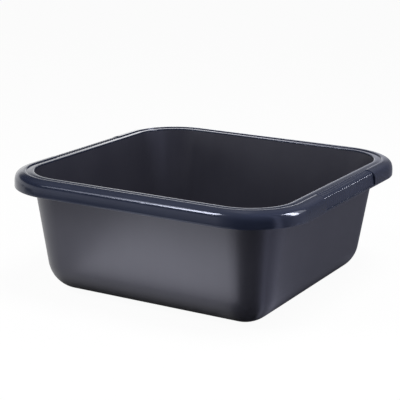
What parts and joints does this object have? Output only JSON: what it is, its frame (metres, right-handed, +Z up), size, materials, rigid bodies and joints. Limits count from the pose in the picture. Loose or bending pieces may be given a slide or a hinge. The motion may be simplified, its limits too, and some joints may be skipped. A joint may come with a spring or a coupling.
{
  "type": "washing up bowl",
  "caption": "Square washing up bowl with rounded corners, tapering matte walls, a glossy rolled rim and recessed ribbed grips, for water and dishes in a sink.",
  "frame": {"origin": "centre of the bowl's footprint, on the surface it stands on", "axes": "+X from grip to grip, -Y the front, +Z up out of the mouth"},
  "size_m": [0.38, 0.38, 0.1485],
  "materials": {
    "tub_matte": "fine matte grain",
    "rim_gloss": "gloss",
    "grip_satin": "satin gloss",
    "foot_matte": "fine matte grain"
  },
  "bodies": {
    "root": {"tub": "tub_matte", "rim": "rim_gloss", "left_grip": "grip_satin", "right_grip": "grip_satin", "foot_ring": "foot_matte"}
  },
  "joints": []
}
